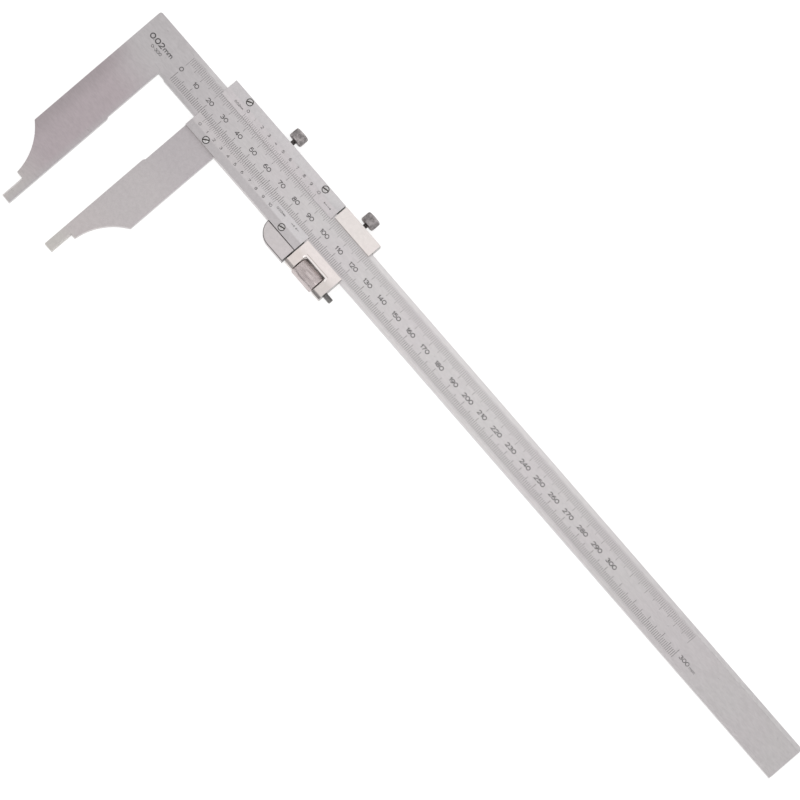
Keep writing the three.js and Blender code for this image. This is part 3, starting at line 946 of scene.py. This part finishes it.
SIX = [bow(0.48, 0.31, 0.44, 0.31, 0, 360, 20), bow(0.60, 0.36, 0.56, 0.64, 70, 175, 10)]
GLYPHS = {
    "0": [bow(0.5, 0.5, 0.5, 0.5, 0, 360, 24)],
    "1": [[(0.12, 0.78), (0.4, 1.0), (0.4, 0.0)]],
    "2": [bow(0.46, 0.69, 0.42, 0.31, 165, -35) + [(0.04, 0.0), (0.94, 0.0)]],
    "3": [bow(0.44, 0.755, 0.38, 0.245, 155, -90) + bow(0.44, 0.27, 0.46, 0.27, 90, -160)[1:]],
    "4": [[(0.68, 0.0), (0.68, 1.0), (0.0, 0.27), (0.96, 0.27)]],
    "5": [[(0.84, 1.0), (0.2, 1.0)] + bow(0.45, 0.33, 0.46, 0.33, 140, -150, 14)],
    "6": SIX,
    "7": [[(0.0, 1.0), (0.88, 1.0), (0.34, 0.0)]],
    "8": [bow(0.47, 0.765, 0.36, 0.235, 0, 360, 18), bow(0.47, 0.265, 0.45, 0.265, 0, 360, 20)],
    "9": turned_about(SIX, 0.47, 0.5),
    "m": [[(0.0, 0.64), (0.0, 0.0)], hump(0.0), hump(0.5)],
    ".": [[(0.0, 0.0), (0.0, 0.14)]],
    "-": [[(0.0, 0.45), (0.5, 0.45)]],
}
PLAIN_WIDTH = 0.94
WIDTHS = {"1": 0.44, "0": 1.0, "m": 1.0, ".": 0.0, "-": 0.5}


def advance(character):
    """How far the next character starts to the right of this one, for a height of 1."""
    return WIDTHS.get(character, PLAIN_WIDTH) + LETTER_GAP


def strip_height(x, y):
    """The height of the beam's front face, which is lower on the graduated strip."""
    on_strip = x > STRIP["left"] and STRIP["low"] < y < STRIP["high"]
    return BEAM_FRONT - STRIP["depth"] if on_strip else BEAM_FRONT


def main_scale():
    """Two rows of millimetre lines along the beam, with a numeral every ten."""
    lines = Inlay(strip_height)
    for reading in range(SCALE["last"] + 1):
        kind = "ten" if reading % 10 == 0 else "five" if reading % 5 == 0 else "one"
        x = ZERO_OFFSET + reading
        length = SCALE_TICK[kind]
        lines.stroke([(x, SCALE["upper"]), (x, SCALE["upper"] - length)], SCALE_LINE["upper"])
        lines.stroke([(x, SCALE["lower"]), (x, SCALE["lower"] + length)], SCALE_LINE["lower"])
    lines.piece("main_scale_lines", "beam")

    numerals = Inlay(strip_height)
    for reading in range(0, SCALE["last_numeral"] + 1, 10):
        x = ZERO_OFFSET + reading
        numerals.text(str(reading), x, NUMERAL["y"], NUMERAL["height"], NUMERAL["stroke"])
    numerals.piece("main_scale_numerals", "beam")


def beam_marks():
    """The range near the beam's end, and the resolution on its head."""
    for name, marks in (("range_mark", RANGE_MARK), ("resolution_mark", RESOLUTION_MARK)):
        inlay = Inlay(strip_height)
        for mark in marks:
            inlay.text(*mark)
        inlay.piece(name, "beam")


def vernier(node, zero, side):
    """The lines and numerals of one vernier plate, and an empty inlay for its marks.

    side is +1 on the upper plate and -1 on the lower.
    """
    low, high = drawing_box(node)
    edge = low.y if side > 0 else high.y
    run = BEVEL_RUN[node]
    slope = (high.z - low.z - PLATE_EDGE) / run

    def bevel_height(x, y):
        return low.z + PLATE_EDGE + slope * min(side * (y - edge), run)

    lines = Inlay(bevel_height)
    numerals = Inlay(bevel_height)
    per_numeral = VERNIER["divisions"] // 10
    for division in range(VERNIER["divisions"] + 1):
        x = zero + division * VERNIER["step"]
        length = VERNIER["long"] if division % per_numeral == 0 else VERNIER["short"]
        lines.stroke([(x, edge + side * VERNIER["inset"]), (x, edge + side * length)], VERNIER["line"])
        if division % per_numeral == 0:
            y = edge + side * VERNIER_NUMERAL["from_edge"]
            figure = str(division // per_numeral)
            numerals.text(figure, x, y, VERNIER_NUMERAL["height"], VERNIER_NUMERAL["stroke"])
    lines.piece(node + "_lines", "slider")
    numerals.piece(node + "_numerals", "slider")
    return Inlay(bevel_height)


def draw_arrow(inlay, arrow):
    """A small arrow along X."""
    x, y, heading = arrow
    half, barb, stroke = ARROW_SHAPE["length"] / 2, ARROW_SHAPE["barb"], ARROW_SHAPE["stroke"]
    tip = x + heading * half
    inlay.stroke([(x - heading * half, y), (tip, y)], stroke)
    inlay.stroke([(tip - heading * barb, y + barb), (tip, y), (tip - heading * barb, y - barb)], stroke)


def plate_marks(name, inlay, mark, arrows):
    """A plate's resolution, and arrows for inside or for outside measuring."""
    inlay.text(*mark)
    for arrow in arrows:
        draw_arrow(inlay, arrow)
    inlay.piece(name, "slider")


def vernier_plates():
    upper = vernier("upper_vernier_plate", OPENING + NIBS_TOGETHER + ZERO_OFFSET, 1)
    plate_marks("upper_plate_marks", upper, UPPER_PLATE_MARK, OUTWARD_ARROWS)
    lower = vernier("lower_vernier_plate", OPENING + ZERO_OFFSET, -1)
    plate_marks("lower_plate_marks", lower, LOWER_PLATE_MARK, INWARD_ARROWS)


# ---------------------------------------------------------------- studio


def studio_ground():
    """A floor so wide that its edge is never seen."""
    bm = bmesh.new()
    bmesh.ops.create_circle(bm, cap_ends=True, segments=FLOOR["segments"], radius=FLOOR["radius_metres"])
    floor = linked("studio_floor", mesh_from(bm, "studio_floor"))
    floor.location.z = -FLOOR["below"] * MM
    floor.data.materials.append(studio_floor())


def sky():
    """Light from all round, dark below and brightest halfway up."""
    world = bpy.data.worlds.new("soft_studio")
    bpy.context.scene.world = world
    world.use_nodes = True
    nodes, links = world.node_tree.nodes, world.node_tree.links
    direction = nodes.new("ShaderNodeTexCoord")
    parts = nodes.new("ShaderNodeSeparateXYZ")
    ramp = nodes.new("ShaderNodeValToRGB")
    links.new(direction.outputs["Generated"], parts.inputs[0])
    links.new(parts.outputs["Z"], ramp.inputs["Fac"])
    links.new(ramp.outputs["Color"], nodes["Background"].inputs["Color"])
    ramp.color_ramp.interpolation = "EASE"
    stops = ramp.color_ramp.elements
    while len(stops) < len(SKY_LEVELS):
        stops.new(0.5)
    for stop, (height, level) in zip(stops, SKY_LEVELS):
        stop.position = height
        stop.color = rgb(level, level * SKY_WARMTH, level * SKY_WARMTH)
    nodes["Background"].inputs["Strength"].default_value = SKY_STRENGTH


def softbox(name, size, energy, aim, distance, lean):
    """A square light over a point of the drawing, leaning from overhead towards +X in degrees."""
    light = bpy.data.lights.new(name, "AREA")
    light.shape = "SQUARE"
    light.size = size
    light.energy = energy
    lamp = linked(name, light)
    turn = math.radians(lean)
    lamp.location = row_point(aim[0] + distance * math.sin(turn), aim[1], distance * math.cos(turn))
    lamp.rotation_euler.y = turn
    lamp.visible_camera = False


def camera():
    """A long lens far overhead, so that the view is nearly parallel, as in the photograph."""
    roll, tilt, lean_turn = (math.radians(VIEW[name]) for name in ("roll", "tilt", "lean_turn"))
    across = Vector((math.cos(roll), math.sin(roll), 0))
    upward = Vector((-math.sin(roll), math.cos(roll), 0))
    lean = -(math.cos(lean_turn) * upward + math.sin(lean_turn) * across)
    back = math.cos(tilt) * Vector((0, 0, 1)) + math.sin(tilt) * lean
    up = (upward - back * upward.dot(back)).normalized()
    right = up.cross(back)
    aim = Vector((0, 0, BEAM_FRONT * MM)) + (up * AIM["up"] + right * AIM["right"]) * MM
    distance = VIEW["width"] * MM * LENS / SENSOR

    data = bpy.data.cameras.new("photo_camera")
    data.sensor_width = SENSOR
    data.lens = LENS
    data.clip_start, data.clip_end = CLIP_METRES
    viewer = linked("photo_camera", data)
    facing = Matrix((right, up, back)).transposed().to_4x4()
    viewer.matrix_world = Matrix.Translation(aim + back * distance) @ facing
    bpy.context.scene.camera = viewer
    bpy.context.scene.view_settings.view_transform = "Standard"


# ---------------------------------------------------------------- the whole caliper

finish_hidden_pieces()
machined_piece("main_beam", "ground_steel", "beam")
machined_piece("slider_body", "satin_chrome", "slider")
for plate in BEVEL_RUN:
    machined_piece(plate, "plate_chrome", "slider")
# The lip's shallow slope has to stay a crease, or smoothing would wash it out.
machined_piece("fine_adjust_carriage", "bright_satin", "carriage", crease=LIP_CREASED_FROM)
thumb_screw("slider_clamp_screw", "slider_clamp")
thumb_screw("carriage_clamp_screw", "carriage_clamp")
feed_nut()
feed_screw()
for screw in SCREW_SLOT_TURN:
    plate_screw(screw)
main_scale()
beam_marks()
vernier_plates()
studio_ground()
sky()
softbox("overhead_softbox", size=0.3, energy=0.16, aim=(150.0, 40.0), distance=450.0, lean=0.0)
softbox("glint_softbox", size=0.25, energy=0.6, aim=(63.0, 0.0), distance=1500.0, lean=40.0)
camera()
